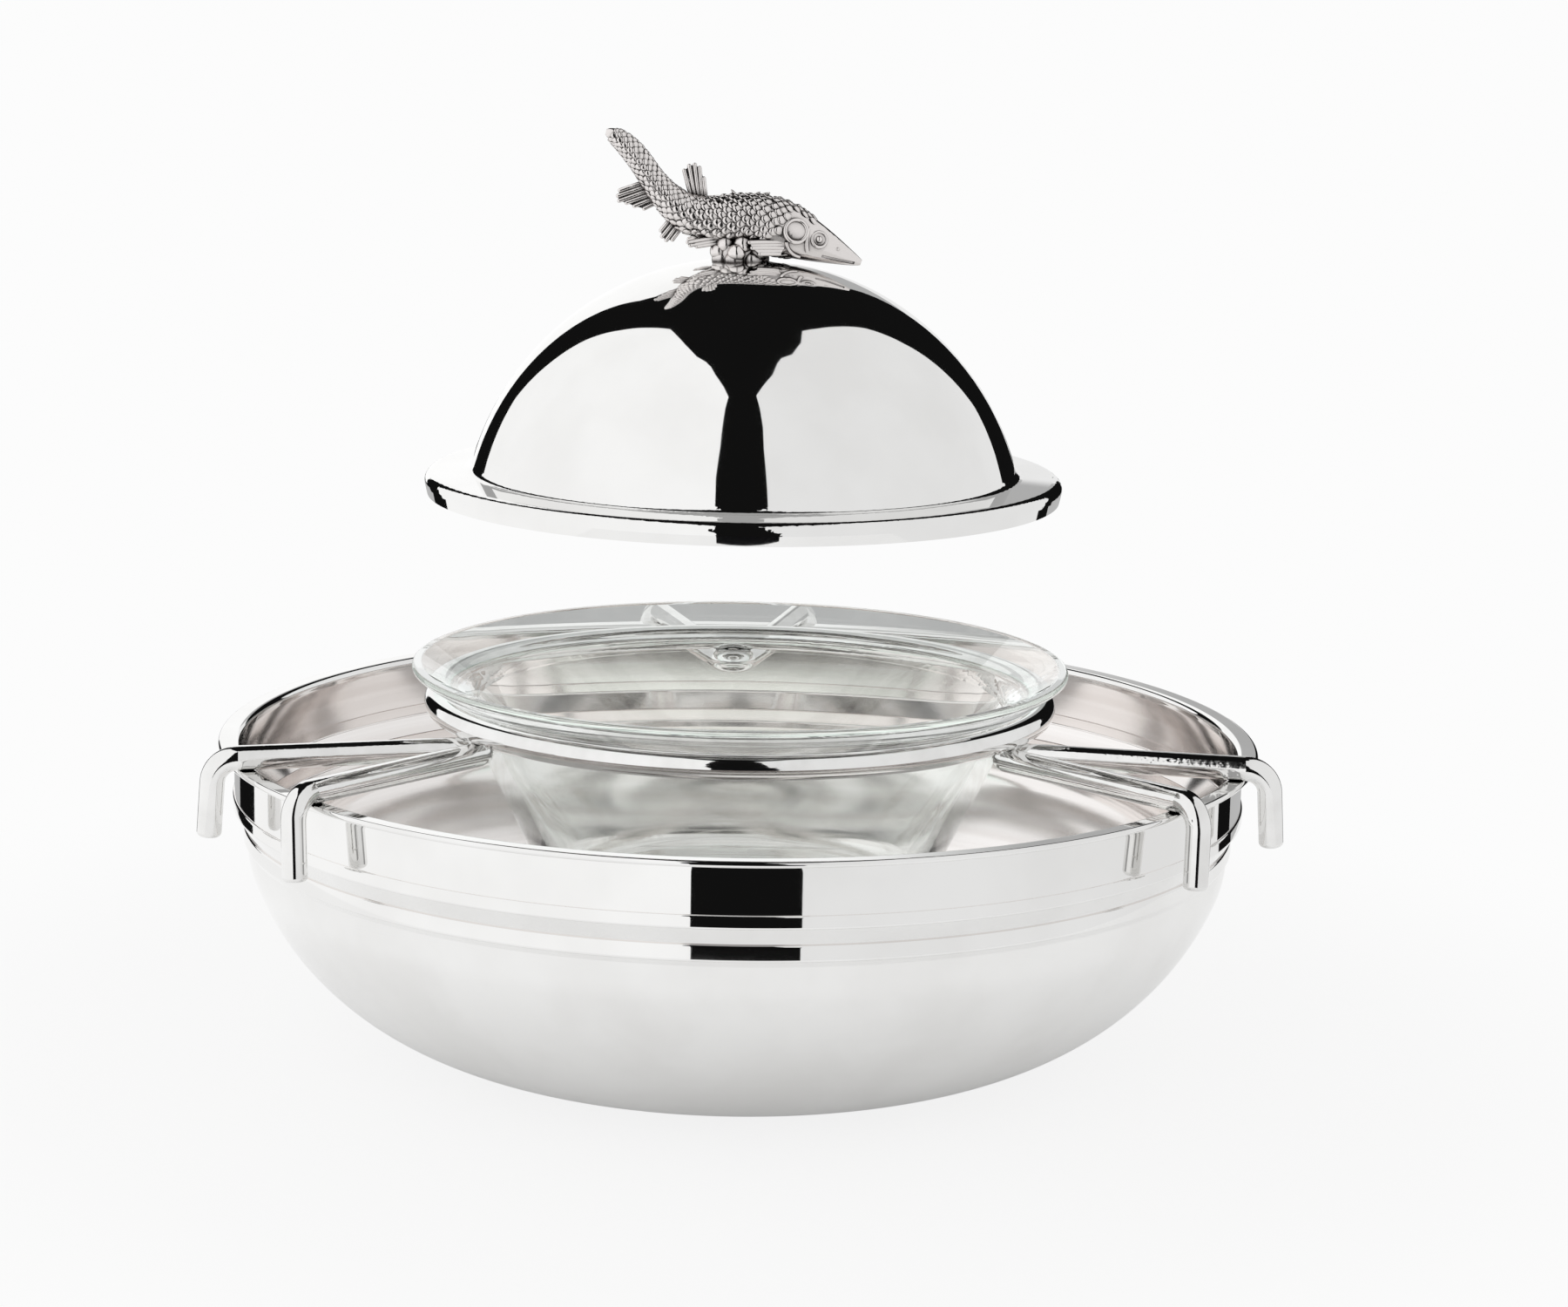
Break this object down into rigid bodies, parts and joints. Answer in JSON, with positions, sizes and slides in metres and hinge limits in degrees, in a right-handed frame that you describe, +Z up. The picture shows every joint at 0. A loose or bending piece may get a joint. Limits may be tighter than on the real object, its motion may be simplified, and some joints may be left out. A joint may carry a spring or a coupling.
{
  "type": "caviar server",
  "caption": "Polished steel bowl for crushed ice with a wire frame on its lip, a clear glass dish in the frame's ring, and a domed lid with a cast fish handle, held above the dish.",
  "frame": {"origin": "centre of the bowl's flat base, on the table", "axes": "+Z up along the bowl's axis; +X to the viewer's right, the way the fish looks; the viewer is at -Y"},
  "size_m": [0.1758, 0.1792, 0.1536],
  "materials": {
    "polished_steel": "mirror polished stainless steel",
    "clear_glass": "clear pressed glass with a faint green tint",
    "cast_silver": "cast and plated, darker in its hollows",
    "screw_steel": "plain turned steel"
  },
  "bodies": {
    "root": {"ice_bowl": "polished_steel", "support_ring": "polished_steel", "hook_wire_left": "polished_steel", "hook_wire_right": "polished_steel", "hook_wire_back": "polished_steel", "glass_dish": "clear_glass", "lid": "polished_steel", "fish_finial": "cast_silver", "finial_screw": "screw_steel"}
  },
  "joints": []
}
